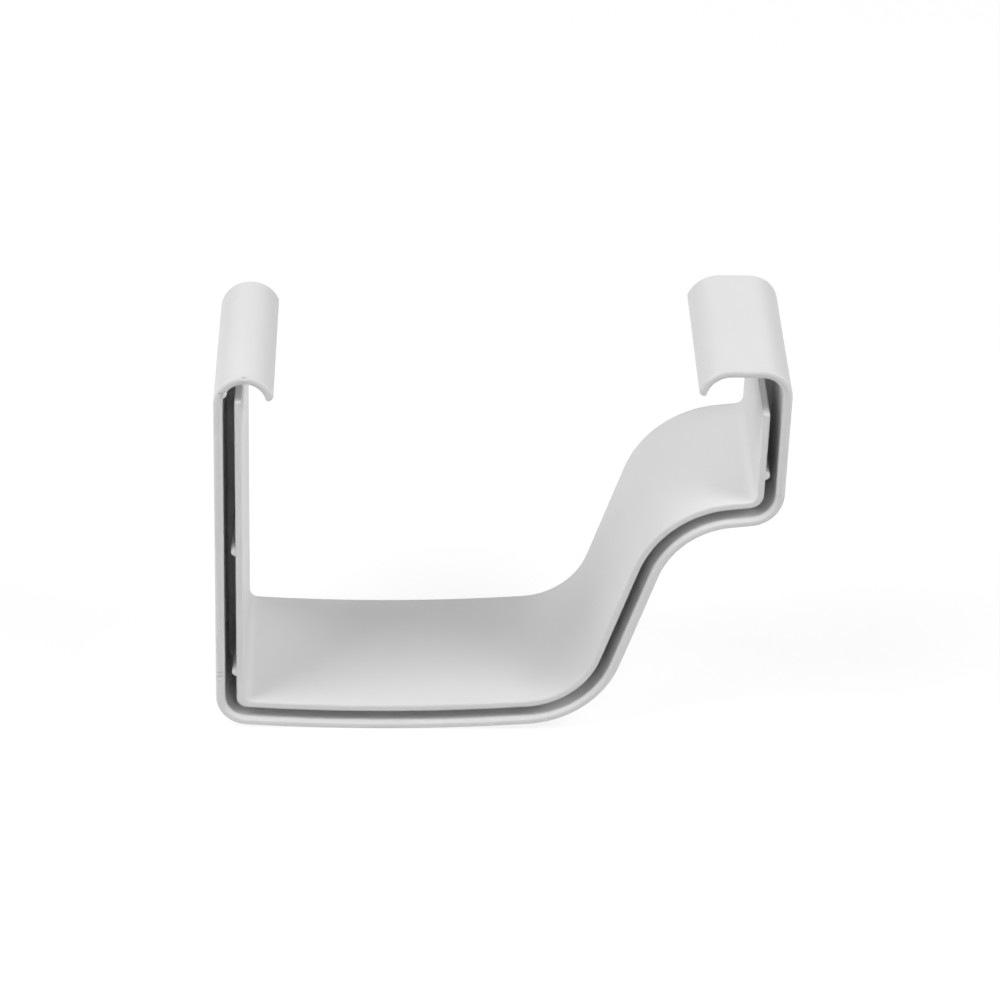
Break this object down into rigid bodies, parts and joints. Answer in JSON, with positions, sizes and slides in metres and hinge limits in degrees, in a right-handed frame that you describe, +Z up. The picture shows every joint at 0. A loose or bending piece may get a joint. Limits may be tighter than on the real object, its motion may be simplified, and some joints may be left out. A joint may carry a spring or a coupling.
{
  "type": "gutter union",
  "caption": "Moulded gutter union with an ogee section: an even slot between an outer and an inner wall takes a gutter from each end, and clips close over its back edge and front lip.",
  "frame": {"origin": "under the middle of the part, level with the lowest line of its floor", "axes": "+X from the back (fascia) face to the front, +Y along the gutter, +Z up"},
  "size_m": [0.133, 0.0512, 0.0966],
  "materials": {
    "white_pvc": "moulded satin white PVC"
  },
  "bodies": {
    "root": {"gutter_union": "white_pvc"}
  },
  "joints": []
}
